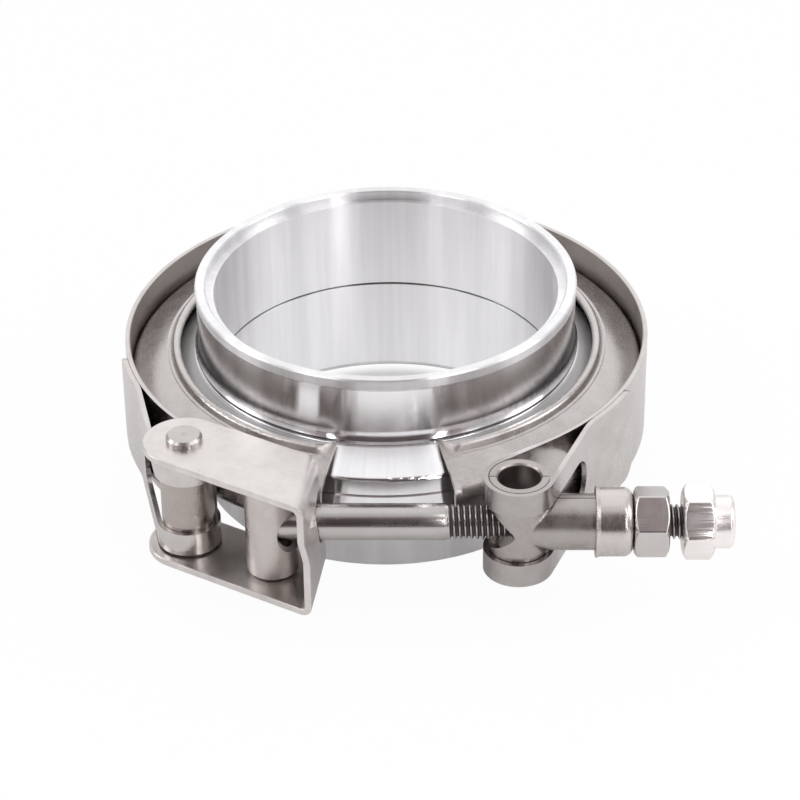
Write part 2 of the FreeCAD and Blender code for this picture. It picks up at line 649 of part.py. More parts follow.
def trunnion():
    """Hollow cross barrel in the right loop, blended into the sleeve for the bolt."""
    centre = RIGHT_PIVOT.x
    barrel = post(RIGHT_PIVOT, TRUNNION_RADIUS, -BAND_HALF_WIDTH, BAND_HALF_WIDTH)
    sleeve = rod(centre, centre + TRUNNION_SLEEVE_LENGTH, TRUNNION_SLEEVE_RADIUS)
    body = barrel.fuse(sleeve)
    saddle = [edge for edge in body.Edges if edge.Curve.TypeId == "Part::GeomBSplineCurve"]
    body = body.makeFillet(SADDLE_FILLET, saddle)
    mouth_radius = TRUNNION_BORE + TRUNNION_BORE_BREAK
    straight_half = BAND_HALF_WIDTH - TRUNNION_BORE_BREAK
    hollow = turned([
        (0, -BAND_HALF_WIDTH), (mouth_radius, -BAND_HALF_WIDTH), (TRUNNION_BORE, -straight_half),
        (TRUNNION_BORE, straight_half), (mouth_radius, BAND_HALF_WIDTH), (0, BAND_HALF_WIDTH),
    ], Vector(0, 0, 1)).translated(RIGHT_PIVOT)
    bore = rod(centre, centre + TRUNNION_SLEEVE_LENGTH, TRUNNION_SLEEVE_BORE)
    left = centre - 2 * TRUNNION_RADIUS
    oval = Part.Ellipse(Vector(left, BOLT_Y + MOUTH_HALF_WIDTH, 0),
                        Vector(left, BOLT_Y, MOUTH_HALF_HEIGHT), Vector(left, BOLT_Y, 0))
    mouth = Part.Face(Part.Wire(oval.toShape())).extrude(Vector(2 * TRUNNION_RADIUS, 0, 0))
    reach = centre + TRUNNION_SLEEVE_LENGTH
    outer_seam = seam(left, reach, BAND_HALF_WIDTH)
    sleeve_seam = seam(centre + TRUNNION_RADIUS + SADDLE_FILLET, reach, TRUNNION_SLEEVE_RADIUS)
    return body.cut([hollow, bore, mouth] + outer_seam + sleeve_seam)


def trunnion_cup():
    """Turned cup on the sleeve: flared lip, rounded shoulder and a hole for the thread."""
    start = CUP_END - CUP_LENGTH
    inside = TRUNNION_SLEEVE_RADIUS + CUP_CLEARANCE
    hole = SHANK_RADIUS + CUP_HOLE_CLEARANCE
    return on_bolt([
        (start, inside),
        (start, CUP_RADIUS + CUP_LIP, CUP_LIP / 2),
        (start + CUP_LIP_LENGTH, CUP_RADIUS),
        (CUP_END, CUP_RADIUS, CUP_SHOULDER),
        (CUP_END, hole),
        (CUP_END - CUP_END_WALL, hole),
        (CUP_END - CUP_END_WALL, inside),
    ])


def hexagon(start, length, across_flats, corner_angle):
    """Hexagonal bar on the bolt axis with its corners turned to an angle."""
    radius = across_flats / math.sqrt(3)
    corners = []
    for index in range(7):
        turn = math.radians(corner_angle + 60 * index)
        corners.append(Vector(start, BOLT_Y - radius * math.cos(turn), radius * math.sin(turn)))
    return Part.Face(Part.makePolygon(corners)).extrude(Vector(length, 0, 0))


def chamfer_turning(start, length, across_flats):
    """Turned blank that trims the corners of a hexagon to the usual thirty degrees."""
    flat = across_flats / 2 * NUT_CHAMFER_RATIO
    corner = across_flats / math.sqrt(3) + EDGE_BREAK
    rise = (corner - flat) * math.tan(math.radians(30))
    end = start + length
    return on_bolt([(start, 0), (start, flat), (start + rise, corner), (end - rise, corner),
                    (end, flat), (end, 0)])


def hex_nut():
    """Plain nut against the cup, chamfered on both faces."""
    blank = hexagon(NUT_START, NUT_LENGTH, NUT_ACROSS_FLATS, NUT_CORNER_ANGLE)
    blank = blank.common(chamfer_turning(NUT_START, NUT_LENGTH, NUT_ACROSS_FLATS))
    return blank.cut(rod(NUT_START, NUT_START + NUT_LENGTH, THREAD_RADIUS + THREAD_FIT))


def lock_nut():
    """Lock nut: hexagon with a collar whose lip is rolled in over the insert."""
    hex_end = LOCK_NUT_START + LOCK_NUT_HEX_LENGTH
    end = hex_end + COLLAR_LENGTH
    blank = hexagon(LOCK_NUT_START, LOCK_NUT_HEX_LENGTH, LOCK_NUT_ACROSS_FLATS,
                    LOCK_NUT_CORNER_ANGLE)
    blank = blank.common(chamfer_turning(LOCK_NUT_START, LOCK_NUT_HEX_LENGTH,
                                         LOCK_NUT_ACROSS_FLATS))
    collar = on_bolt([(hex_end - COLLAR_WALL, 0), (hex_end - COLLAR_WALL, COLLAR_RADIUS),
                      (end, COLLAR_RADIUS, COLLAR_CORNER), (end, 0)])
    pocket_end = end - COLLAR_WALL
    pocket = rod(pocket_end - INSERT_LENGTH, pocket_end, COLLAR_RADIUS - COLLAR_WALL)
    thread = rod(LOCK_NUT_START, end, THREAD_RADIUS + THREAD_FIT)
    opening = rod(pocket_end, end, COLLAR_LIP_RADIUS)
    return blank.fuse(collar).cut([thread, pocket, opening])


def lock_nut_insert():
    """Nylon ring held in the collar of the lock nut."""
    pocket_end = LOCK_NUT_START + LOCK_NUT_HEX_LENGTH + COLLAR_LENGTH - COLLAR_WALL
    start = pocket_end - INSERT_LENGTH + INSERT_CLEARANCE
    end = pocket_end - INSERT_CLEARANCE
    ring = rod(start, end, COLLAR_RADIUS - COLLAR_WALL - INSERT_CLEARANCE)
    return ring.cut(rod(start, end, THREAD_RADIUS + INSERT_BORE_FIT))


def subparts():
    """Every separate piece of the clamp by name."""
    flange = upper_flange()
    return {
        "upper_flange": flange,
        "lower_flange": mirrored(flange),
        "clamp_band": clamp_band(),
        "retainer_left": retainer(RETAINER_BACK + RETAINER_GAP_BACK,
                                  RETAINER_FRONT - RETAINER_GAP_LEFT, 1),
        "retainer_right": retainer(RETAINER_FRONT - 360 + RETAINER_GAP_RIGHT,
                                   RETAINER_BACK - RETAINER_GAP_BACK, -1),
        "latch_bracket": latch_bracket(),
        "latch_rivet": latch_rivet(),
        "latch_sleeve": latch_sleeve(),
        "t_bolt_barrel": t_bolt_barrel(),
        "t_bolt": t_bolt(),
        "trunnion": trunnion(),
        "trunnion_cup": trunnion_cup(),
        "hex_nut": hex_nut(),
        "lock_nut": lock_nut(),
        "lock_nut_insert": lock_nut_insert(),
    }


os.makedirs("parts", exist_ok=True)
for name, shape in subparts().items():
    shape.exportStep(f"parts/{name}.step")
    print(name, "solids", len(shape.Solids), "valid", shape.isValid(), "volume", round(shape.Volume, 1))
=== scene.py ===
# %% [markdown]
# # Quick-release V band clamp
# The real object is a stainless clamp that pulls two turned pipe flanges together. A sprung
# strip of steel runs round the outside, two roll formed channels inside it grip the flanges'
# sloping rims, and a T bolt with a swinging latch closes the strip. The construction comes from
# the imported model, and this script gives each piece its finish and the detail that a lathe, a
# press or a thread roller leaves. All lengths are metres, so millimetre sizes are times MM.

import json
import math

import bpy
from mathutils import Matrix, Vector


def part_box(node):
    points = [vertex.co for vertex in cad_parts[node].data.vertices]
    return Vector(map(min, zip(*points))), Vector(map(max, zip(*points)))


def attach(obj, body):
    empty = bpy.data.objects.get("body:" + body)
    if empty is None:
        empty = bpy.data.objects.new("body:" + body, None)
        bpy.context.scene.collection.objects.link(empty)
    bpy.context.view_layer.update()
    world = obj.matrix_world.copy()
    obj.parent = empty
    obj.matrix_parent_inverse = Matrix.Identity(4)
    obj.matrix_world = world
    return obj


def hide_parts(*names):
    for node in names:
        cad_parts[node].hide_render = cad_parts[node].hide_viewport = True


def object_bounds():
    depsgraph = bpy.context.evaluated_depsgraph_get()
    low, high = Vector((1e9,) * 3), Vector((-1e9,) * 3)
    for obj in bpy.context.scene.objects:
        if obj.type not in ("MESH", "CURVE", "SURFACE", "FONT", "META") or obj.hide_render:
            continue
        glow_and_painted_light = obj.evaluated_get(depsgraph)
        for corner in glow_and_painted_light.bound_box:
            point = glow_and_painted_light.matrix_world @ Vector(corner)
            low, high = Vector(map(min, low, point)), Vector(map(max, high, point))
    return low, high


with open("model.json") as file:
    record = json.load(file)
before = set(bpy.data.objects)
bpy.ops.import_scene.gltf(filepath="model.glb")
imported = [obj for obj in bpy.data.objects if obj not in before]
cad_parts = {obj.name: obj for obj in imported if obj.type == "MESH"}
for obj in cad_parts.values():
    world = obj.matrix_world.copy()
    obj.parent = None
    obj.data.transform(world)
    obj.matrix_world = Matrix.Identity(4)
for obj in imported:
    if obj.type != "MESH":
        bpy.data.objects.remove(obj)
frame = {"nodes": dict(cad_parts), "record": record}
cad_low, cad_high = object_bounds()
MM = 0.001
nodes = frame["nodes"]

# %% [markdown]
# ## Formulas instead of wires
# A node tree is a set of formulas. Dragging nodes by hand hides them, so one small class wraps
# an output socket and lets a formula be written as Python, in a material, in the world or in
# Geometry Nodes. Numbers meet in Math nodes, and colours go through Mix nodes, because a Math
# node would turn a colour grey.

# %% A socket that understands arithmetic
class Value:
    """One number or colour in a node tree, with the usual operators for numbers."""

    def __init__(self, maker, socket):
        self.maker = maker
        self.socket = socket

    def math(self, operation, *others):
        values = dict(enumerate((self,) + others))
        return self.maker.node("ShaderNodeMath", {"operation": operation}, values)

    def __add__(self, other):
        return self.math("ADD", other)

    def __sub__(self, other):
        return self.math("SUBTRACT", other)

    def __mul__(self, other):
        return self.math("MULTIPLY", other)

    def __truediv__(self, other):
        return self.math("DIVIDE", other)

    def __rsub__(self, other):
        return (self * -1) + other

    __radd__ = __add__

    def power(self, exponent):
        return self.math("POWER", exponent)

    def between(self, low, high):
        return self.math("MAXIMUM", low).math("MINIMUM", high)

    def ease(self, start, end, low=0.0, high=1.0):
        """Goes smoothly from low to high while this value goes from start to end."""
        return self.maker.node("ShaderNodeMapRange", {"interpolation_type": "SMOOTHSTEP"}, {
            "Value": self, "From Min": start, "From Max": end, "To Min": low, "To Max": high})


# %% Adding nodes to a tree
class Maker:
    """Adds nodes and links to one tree."""

    def __init__(self, tree):
        self.tree = tree

    def node(self, kind, settings=None, inputs=None, output=0):
        """Adds one node: its settings first, then its sockets' values or links."""
        made = self.tree.nodes.new(kind)
        for key, value in (settings or {}).items():
            setattr(made, key, value)
        for key, value in (inputs or {}).items():
            self.feed(made.inputs[key], value)
        return Value(self, made.outputs[output])

    def feed(self, socket, value):
        """Links a Value to a socket, or sets the socket's own number or colour."""
        if isinstance(value, Value):
            self.tree.links.new(value.socket, socket)
        else:
            socket.default_value = value

    def parts(self, vector):
        """The x, y and z of a vector."""
        split = self.tree.nodes.new("ShaderNodeSeparateXYZ")
        self.feed(split.inputs[0], vector)
        return [Value(self, socket) for socket in split.outputs]

    def vector(self, x, y, z):
        return self.node("ShaderNodeCombineXYZ", inputs={0: x, 1: y, 2: z})

    def mix(self, factor, first, second):
        return self.node("ShaderNodeMix", {"data_type": "RGBA"}, {
            0: factor, 6: first, 7: second}, output=2)


# %% A finish is a tree round one Principled shader
class Finish(Maker):
    """A material being made from noises of the object's own coordinates."""

    def __init__(self, name):
        self.material = bpy.data.materials.new(name)
        self.material.use_nodes = True
        super().__init__(self.material.node_tree)
        self.shader = self.tree.nodes["Principled BSDF"]
        self.place = self.node("ShaderNodeTexCoord", output=3)

    def noise(self, vector, scale, detail=2.0, roughness=0.5):
        return self.node("ShaderNodeTexNoise", {"noise_dimensions": "3D"}, {
            "Vector": vector, "Scale": scale, "Detail": detail, "Roughness": roughness})

    def bump(self, height, distance):
        return self.node("ShaderNodeBump", None, {
            "Height": height, "Distance": distance, "Strength": 1.0})

    def done(self, **values):
        """Feeds the Principled shader; underscores in a name stand for spaces."""
        for key, value in values.items():
            self.feed(self.shader.inputs[key.replace("_", " ")], value)
        return self.material


print("helpers ready")

# %% [markdown]
# ## Where a point is on a turned piece
# A lathe leaves rings, and rolling leaves lines along the strip. Both patterns need the radius
# and the angle round an axis, worked out from Object coordinates, so that they stay on the
# metal from any side and in any pose.

# %% Radius, angle and height round an upright axis, or round the bolt
def round_axis(finish, centre_x=0.0, centre_y=0.0):
    """Radius and angle round an upright axis, and the height, in metres and radians."""
    x, y, z = finish.parts(finish.place)
    x, y = x - centre_x, y - centre_y
    return (x * x + y * y).power(0.5), y.math("ARCTAN2", x), z


def round_bolt(finish):
    """Radius and angle round the T bolt, and the length along it."""
    x, y, z = finish.parts(finish.place)
    side = y - BOLT_Y
    return (side * side + z * z).power(0.5), z.math("ARCTAN2", side), x


def grey(level, warmth=0.0):
    """A grey, warmed a little towards red, as the steel in the photograph is."""
    return (level * (1 + warmth), level * (1 - 0.55 * warmth), level * (1 - 1.2 * warmth), 1.0)


bolt_low, bolt_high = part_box("t_bolt")
BOLT_Y = (bolt_low[1] + bolt_high[1]) / 2
FRONT = math.pi / 2
print("bolt axis at y", round(BOLT_Y / MM, 2), "mm")

# %% [markdown]
# ## Turned aluminium flanges
# The flanges are brighter and cooler than the clamp: they are turned from aluminium. A lathe
# tool leaves rings too fine to see one by one, and they smear every reflection across the cut,
# so a lamp becomes an upright streak on the bore. Thousands of bumps could do that, but they
# flicker in a small picture. The Principled shader's anisotropy does it cleanly: turned by a
# quarter, it smears up and down the wall and leaves the reflection sharp round the axis. Upright
# streaks are also painted into the colour as painted reflections. Use adds a dark line in the
# joint, and painted shade darkens the shoulder under the channels' lips.

# %% Finish: turned aluminium
BORE_EDGE = 37.4 * MM
NECK_FOOT = 41.05 * MM
LIP_EDGE = 45.1 * MM
RIM_TOP = 20.45 * MM
JOINT_LINE = 0.22 * MM
OPEN_GAP = 0.27
QUARTER_TURN = 0.25


def turned_aluminium():
    """Bright aluminium: upright streaks in the bore, partly painted reflections, a sharper neck,
    and painted shade under the channels.
    """
    finish = Finish("turned_aluminium")
    radius, angle, height = round_axis(finish)
    across = (radius + height * 0.9) / MM
    rings = finish.noise(finish.vector(across, 0.0, 0.0), 9.0, 3.0, 0.6)
    # painted reflection: upright streaks round the axis make the colour lighter and darker, and
    # they also vary the roughness
    polish_and_painted_streaks = finish.noise(finish.vector(angle * 9.0, height / MM * 0.01, 0.0), 1.0, 4.0, 0.65)
    cloud = finish.noise(finish.place, 60.0, 3.0)
    inside = radius.ease(BORE_EDGE + 0.2 * MM, BORE_EDGE - 0.2 * MM)
    # painted shade: the shoulder between the neck's foot and the lip's edge is darkened where the
    # channels cover it
    shoulder = (radius.ease(NECK_FOOT - 0.25 * MM, NECK_FOOT + 0.25 * MM)
                * radius.ease(LIP_EDGE + 0.3 * MM, LIP_EDGE - 0.3 * MM))
    covered = (angle + FRONT).math("ABSOLUTE").ease(OPEN_GAP - 0.02, OPEN_GAP + 0.02)
    painted_lip_shade = shoulder * covered
    joint = height.math("ABSOLUTE").ease(JOINT_LINE + 0.1 * MM, JOINT_LINE - 0.1 * MM) * inside
    rim = height.ease(RIM_TOP - 0.25 * MM, RIM_TOP + 0.25 * MM) * (1 - inside)
    rough = (0.13 + inside * 0.21 + rings * 0.02 + cloud * 0.04 + (polish_and_painted_streaks - 0.5) * 0.08
             + painted_lip_shade * 0.15 + rim * 0.2)
    # the colour follows the streaks: painted reflection streaks
    painted_streak_tint = finish.mix(polish_and_painted_streaks.ease(0.35, 0.65), (0.86, 0.85, 0.865, 1.0),
                       (0.95, 0.94, 0.955, 1.0))
    # painted shade under the channels' lips
    with_lip_shade = finish.mix(painted_lip_shade * 0.75, painted_streak_tint, (0.26, 0.25, 0.25, 1.0))
    tint = finish.mix(joint * 0.85, with_lip_shade, (0.05, 0.045, 0.045, 1.0))
    normal = finish.bump(rings, 0.0008 * MM)
    return finish.done(Base_Color=tint, Metallic=1.0, Roughness=rough, Anisotropic=0.95,
                       Anisotropic_Rotation=QUARTER_TURN, Normal=normal)


# %% [markdown]
# ## Steel of the clamp
# The strip, the channels and the plates are stainless sheet with a soft mill polish: a warm
# grey, with rolling lines along the strip, dull smudges from handling, and small scratches.
# Each could have a material of its own, but they come from the same kind of sheet, so one
# recipe with named amounts makes them all and they stay alike. The channels are scuffed beside
# the front gap, where they are pressed down. The strip's inner face and the bore of the
# trunnion's tube get painted shade, and the strip is darker round the trunnion.

# %% Finish: rolled and pressed stainless sheet
SHEET_RELIEF = 0.0035 * MM
LINES_ROUND = 55.0
SCUFF_START = 0.62
SCUFF_FULL = 0.30
DARKENED_REACH = 8.0 * MM


def sheet_steel(name, level, rough, grain, smudge, warmth=0.028, axis=(0.0, 0.0), upright=False,
                scuffed=False, painted_shade_within=None, darkened_round=None):
    """Stainless sheet: grain is the depth of the rolling lines, smudge the dull cloudiness.

    Lines run round an upright axis, or along it where upright is true. Faces nearer to the
    axis than the radius given as the shade limit get painted shade: darker and a little rougher.
    Round the point given as the last argument the metal is darker.
    """
    finish = Finish(name)
    radius, angle, height = round_axis(finish, *axis)
    along = angle * LINES_ROUND
    if upright:
        lines = finish.noise(finish.vector(along * 1.2, height / MM * 0.15, 0.0), 1.0, 3.0, 0.65)
    else:
        lines = finish.noise(finish.vector(along * 0.12, height / MM * 2.6, radius / MM * 2.6),
                             1.0, 4.0, 0.7)
    cloud = finish.noise(finish.place, 190.0, 5.0, 0.65).ease(0.1, 0.9)
    speck = finish.noise(finish.place, 1500.0, 2.0, 0.7)
    scratch_place = finish.vector(along * 0.6, height / MM * 1.2, radius / MM * 1.2)
    scratch = finish.noise(scratch_place, 1.4, 5.0, 0.75).ease(0.60, 0.66)
    worn = cloud * smudge + lines * grain + speck * (0.25 * smudge)
    roughness = worn + (rough - 0.5 * (1.25 * smudge + grain))
    relief = lines * (grain * 22.0) + speck * 0.2 + scratch * 0.8
    stain = cloud + (lines - 0.5) * (grain * 3.0)
    if scuffed:
        near_gap = (angle + FRONT).math("ABSOLUTE").ease(SCUFF_START, SCUFF_FULL)
        rubbed = finish.noise(finish.vector(along * 0.5, radius / MM * 1.4, height / MM * 1.4),
                              0.9, 6.0, 0.8).ease(0.47, 0.60) * near_gap
        roughness = roughness + near_gap * 0.06 + rubbed * 0.14
        relief = relief + rubbed * 3.0
        stain = stain - rubbed * 0.40 - near_gap * 0.25
    tint = finish.mix(stain.between(0.0, 1.0), grey(level * 0.84, warmth * 1.6),
                      grey(level * 1.12, warmth))
    if painted_shade_within:
        # painted shade: faces nearer to the axis than the given radius are darkened and made
        # rougher
        covered = radius.ease(painted_shade_within + 0.05 * MM, painted_shade_within - 0.05 * MM)
        tint = finish.mix(covered * 0.42, tint, grey(0.16, 0.12))
        roughness = roughness + covered * 0.08
    if darkened_round:
        # the metal within a reach of the given point is made darker
        reach = round_axis(finish, *darkened_round)[0]
        near = reach.ease(DARKENED_REACH + MM, DARKENED_REACH - MM)
        tint = finish.mix(near * 0.45, tint, grey(0.22, 0.06))
    normal = finish.bump(relief, SHEET_RELIEF)
    return finish.done(Base_Color=tint, Metallic=1.0, Roughness=roughness.between(0.05, 0.9),
                       Normal=normal)


# %% [markdown]
# ## Bolt, cup and nuts
# Pieces on the bolt axis were drawn or turned along X, so their lines run round X. The cup and
# the plain nut are bright stainless, and the lock nut is plated, which is whiter. A photograph
# of such metal could be wrapped on, but it would carry its own lamps and reflections. Lines,
# rings and painted shade worked out from the bolt's axis stay true from every side. The bolt's
# thread valleys get painted shade, which makes them almost black.

# %% Finish: turned along the bolt
BOLT_RELIEF = 0.004 * MM
THREAD_START = 13.2 * MM
VALLEY_DEPTH = 0.45 * MM


def bolt_steel(name, level, rough, ring, streak, warmth=0.028, valley=None):
    """Steel turned round the bolt axis: ring is tool marks, streak is drawing lines.

    Below the radius called valley the colour gets painted shade, near black, where the thread has
    its valleys.
    """
    finish = Finish(name)
    radius, angle, length = round_bolt(finish)
    rings = finish.noise(finish.vector((length + radius) / MM, angle * 0.8, 0.0), 2.4, 2.0, 0.6)
    drawn = finish.noise(finish.vector(length / MM * 0.05, angle * 9.0, 0.0), 1.0, 3.0, 0.6)
    cloud = finish.noise(finish.place, 260.0, 4.0, 0.6)
    roughness = (rings * ring + drawn * streak + cloud * 0.12 + (rough - 0.06)
                 - 0.5 * (ring + streak))
    tint = finish.mix(cloud, grey(level * 0.86, warmth * 1.3), grey(level * 1.12, warmth))
    if valley:
        threaded = length.ease(THREAD_START + 0.1 * MM, THREAD_START + 0.4 * MM)
        # painted shade: the thread's valleys are darkened to near black and made rougher
        valley_shade = (valley - radius).ease(0.0, VALLEY_DEPTH) * threaded
        tint = finish.mix(valley_shade * 0.85, tint, (0.07, 0.06, 0.055, 1.0))
        roughness = roughness + valley_shade * 0.3
    normal = finish.bump(rings * (ring * 5.0) + drawn * (streak * 5.0), BOLT_RELIEF)
    return finish.done(Base_Color=tint, Metallic=1.0, Roughness=roughness.between(0.05, 0.9),
                       Normal=normal)


def nylon():
    """Natural nylon of the lock nut's ring."""
    finish = Finish("natural_nylon")
    cloud = finish.noise(finish.place, 900.0, 2.0)
    tint = finish.mix(cloud, (0.62, 0.61, 0.57, 1.0), (0.72, 0.71, 0.67, 1.0))
    return finish.done(Base_Color=tint, Roughness=0.5)


# %% [markdown]
# ## Which piece has which finish
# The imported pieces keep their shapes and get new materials. Faces could be painted one by one,
# but each piece is one metal, so one material in its slot is enough, and a worn place comes from
# a distance inside the recipe. The numbers are, in order, how bright the metal is, how rough,
# how deep its lines are and how smudged it is.

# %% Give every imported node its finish
def middle_of(node):
    """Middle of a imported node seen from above."""
    low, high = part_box(node)
    return (low[0] + high[0]) / 2, (low[1] + high[1]) / 2


def pivot_of(joint_name):
    """Place of an upright hinge seen from above."""
    joints = frame["record"]["behaviour"]["joints"]
    place = next(joint["pos_m"] for joint in joints if joint["name"] == joint_name)
    return place[0], place[1]


left_pivot = middle_of("latch_sleeve")
barrel_axis = middle_of("t_bolt_barrel")
right_pivot = pivot_of("trunnion_swivel")
finishes = {
    "upper_flange": turned_aluminium(),
    # the strip's inner face and the trunnion tube's bore get painted shade
    "clamp_band": sheet_steel("rolled_strip", 0.58, 0.24, 0.14, 0.16, painted_shade_within=55.0 * MM,
                              darkened_round=right_pivot),
    "retainer_left": sheet_steel("roll_formed_channel", 0.56, 0.28, 0.16, 0.16, scuffed=True),
    "latch_bracket": sheet_steel("pressed_plate", 0.67, 0.34, 0.16, 0.20),
    "latch_rivet": sheet_steel("upset_rivet", 0.52, 0.32, 0.06, 0.16),
    "latch_sleeve": sheet_steel("rolled_tube", 0.42, 0.30, 0.14, 0.30, 0.06, left_pivot,
                                upright=True),
    "trunnion": sheet_steel("formed_tube", 0.41, 0.32, 0.16, 0.24, 0.04, right_pivot,
                            painted_shade_within=4.4 * MM),
    "trunnion_cup": bolt_steel("turned_cup", 0.60, 0.27, 0.14, 0.05, 0.04),
    "hex_nut": bolt_steel("machined_nut", 0.60, 0.22, 0.20, 0.03),
    "lock_nut": bolt_steel("plated_nut", 0.93, 0.31, 0.06, 0.02, 0.025),
    "lock_nut_insert": nylon(),
    "t_bolt": bolt_steel("drawn_bolt", 0.50, 0.24, 0.05, 0.20, valley=3.5 * MM),
    "t_bolt_barrel": sheet_steel("barrel_tube", 0.56, 0.34, 0.12, 0.30, 0.04, barrel_axis,
                                 upright=True),
}
finishes["lower_flange"] = finishes["upper_flange"]
finishes["retainer_right"] = finishes["retainer_left"]
for name, finish in finishes.items():
    nodes[name].material_slots[0].material = finish
print("finished nodes:", len(finishes))

# %% [markdown]
# ## Rounded corners on the nuts
# A nut's corners are rounded when it is cut and tumbled, and each rounded corner is a bright
# line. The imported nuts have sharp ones. They could be modelled again, but two modifiers are
# enough: one joins the loose triangles, and the other rounds the edges that are sharp.

# %% Round the nuts' corners
CORNER_WIDTH = 0.28 * MM
SHARP_ANGLE = math.radians(24)
SAME_POINT = 0.002 * MM


def rounded_corners(node):
    """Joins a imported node's triangles and rounds the edges where faces meet sharply."""
    weld = nodes[node].modifiers.new("joined", "WELD")
    weld.merge_threshold = SAME_POINT
    bevel = nodes[node].modifiers.new("rounded", "BEVEL")
    bevel.limit_method = "ANGLE"
    bevel.angle_limit = SHARP_ANGLE
    bevel.width = CORNER_WIDTH
    bevel.segments = 3
    bevel.use_clamp_overlap = False
    bevel.harden_normals = True


for nut in ("hex_nut", "lock_nut"):
    rounded_corners(nut)
print("nuts rounded")

# %% [markdown]
# ## The rolled bolt
# The threaded half of the T bolt is rolled: blank wire is squeezed between dies, so the crests
# are rounded, the valleys are smooth, and the thread runs out gently at the shank. Bump alone
# would leave the outline plain, and a profile swept along a helix leaves a step at the shank.
# A thread follows a rule, so Geometry Nodes makes it: a sheet of points is rolled up round the
# bolt's axis, and each point's radius comes from its place on the helix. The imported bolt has
# only a plain cylinder there, so this piece stands for it.

# %% Sizes of the bolt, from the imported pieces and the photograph
SHANK_PAST_AXIS = 1.4 * MM
BOLT_SIZES = {
    "Shank Start": barrel_axis[0] - SHANK_PAST_AXIS,
    "Thread Start": THREAD_START,
    "Thread End": bolt_high[0],
    "Shank Radius": 3.71 * MM,
    "Crest Radius": 3.54 * MM,
    "Thread Depth": 0.66 * MM,
    "Pitch": 1.12 * MM,
    "Run Out": 1.6 * MM,
    "Chamfer": 0.6 * MM,
    "Rows Per Turn": 12,
    "Sides": 57,
}
SHANK_ROWS = 6
SHOULDER_SLOPE = 0.4
SMOOTH_BELOW = math.radians(42)
print("bolt pitch in mm:", round(BOLT_SIZES["Pitch"] / MM, 2))


# %% The tree that rolls it
def rolled_bolt_tree(steel):
    """Geometry Nodes tree: a grid of points wrapped into a shank and a helical thread."""
    tree = bpy.data.node_groups.new("rolled_bolt", "GeometryNodeTree")
    for name in BOLT_SIZES:
        tree.interface.new_socket(name, in_out="INPUT", socket_type="NodeSocketFloat")
    tree.interface.new_socket("Bolt", in_out="OUTPUT", socket_type="NodeSocketGeometry")
    maker = Maker(tree)
    given = tree.nodes.new("NodeGroupInput")
    size = {socket.name: Value(maker, socket) for socket in given.outputs if socket.name}

    sides, pitch, end = size["Sides"], size["Pitch"], size["Thread End"]
    step = size["Shank Radius"] - size["Crest Radius"]
    shoulder = size["Thread Start"] - step / SHOULDER_SLOPE
    fine_step = pitch / size["Rows Per Turn"]
    fine_rows = ((end - shoulder) / fine_step).math("CEIL")
    rows = fine_rows + (SHANK_ROWS + 3)
    grid = maker.node("GeometryNodeMeshGrid", None, {"Vertices X": rows, "Vertices Y": sides})

    index = maker.node("GeometryNodeInputIndex")
    row = ((index + 0.5) / sides).math("FLOOR")
    turn = (index - row * sides) / (sides - 1)
    shank_step = (shoulder - size["Shank Start"]) / SHANK_ROWS
    along = ((row - 1).between(0, SHANK_ROWS) * shank_step
             + (row - (SHANK_ROWS + 1)).between(0, fine_rows) * fine_step)
    x = (along + size["Shank Start"]).math("MINIMUM", end)

    phase = (x / pitch - turn).math("FRACT")
    from_crest = (phase * 2 - 1).math("ABSOLUTE")
    groove = from_crest.ease(0.10, 0.84) * x.ease(shoulder, shoulder + size["Run Out"])
    plain = (size["Shank Radius"] - (x - shoulder) * SHOULDER_SLOPE).between(
        size["Crest Radius"], size["Shank Radius"])
    radius = plain - groove * size["Thread Depth"]
    radius = radius.math("MINIMUM", end - x + (size["Crest Radius"] - size["Chamfer"]))
    closed = row.math("GREATER_THAN", 0.5) * row.math("LESS_THAN", rows - 1.5)
    radius = radius * closed
    angle = turn * math.tau
    point = maker.vector(x, radius * angle.math("COSINE") + BOLT_Y, radius * angle.math("SINE"))

    rolled = maker.node("GeometryNodeSetPosition", None, {"Geometry": grid, "Position": point})
    seamed = maker.node("GeometryNodeMergeByDistance", None, {
        "Geometry": rolled, "Distance": SAME_POINT / 2})
    facing = maker.node("GeometryNodeFlipFaces", None, {"Mesh": seamed})
    single = maker.node("GeometryNodeRealizeInstances", None, {"Geometry": facing})
    finished = maker.node("GeometryNodeSetMaterial", None, {"Geometry": single, "Material": steel})
    result = tree.nodes.new("NodeGroupOutput")
    maker.feed(result.inputs[0], finished)
    return tree


# %% Run the tree once and keep a plain mesh
def rolled_bolt(steel):
    """The bolt as a plain mesh object that rides on the bolt's body."""
    tree = rolled_bolt_tree(steel)
    host = bpy.data.objects.new("rolled_bolt_host", bpy.data.meshes.new("host"))
    bpy.context.scene.collection.objects.link(host)
    modifier = host.modifiers.new("rolled_bolt", "NODES")
    modifier.node_group = tree
    for item in tree.interface.items_tree:
        if item.in_out == "INPUT":
            modifier[item.identifier] = float(BOLT_SIZES[item.name])
    made = host.evaluated_get(bpy.context.evaluated_depsgraph_get())
    mesh = bpy.data.meshes.new_from_object(made)
    bpy.data.objects.remove(host)
    mesh.name = "rolled_bolt"
    mesh.shade_smooth()
    mesh.set_sharp_from_angle(angle=SMOOTH_BELOW)
    bolt = bpy.data.objects.new("rolled_bolt", mesh)
    bpy.context.scene.collection.objects.link(bolt)
    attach(bolt, "bolt")
    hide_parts("t_bolt")
    print("rolled bolt faces:", len(mesh.polygons))
    return bolt


rolled_bolt(finishes["t_bolt"])

# %% [markdown]
# ## Studio
# The clamp stands on a white sheet under soft light. Metal shows its surroundings and has
# almost no colour of its own, so the surroundings are what has to be right. In the photograph
# the ceiling and the back wall are bright, and the room on the camera's side is dark and a
# little warm: that dark side is the black band along the bolt and the grey in the nuts. Big
# lamps alone could light the clamp, but between them the metal would show black, so a painted
# room does most of the work.

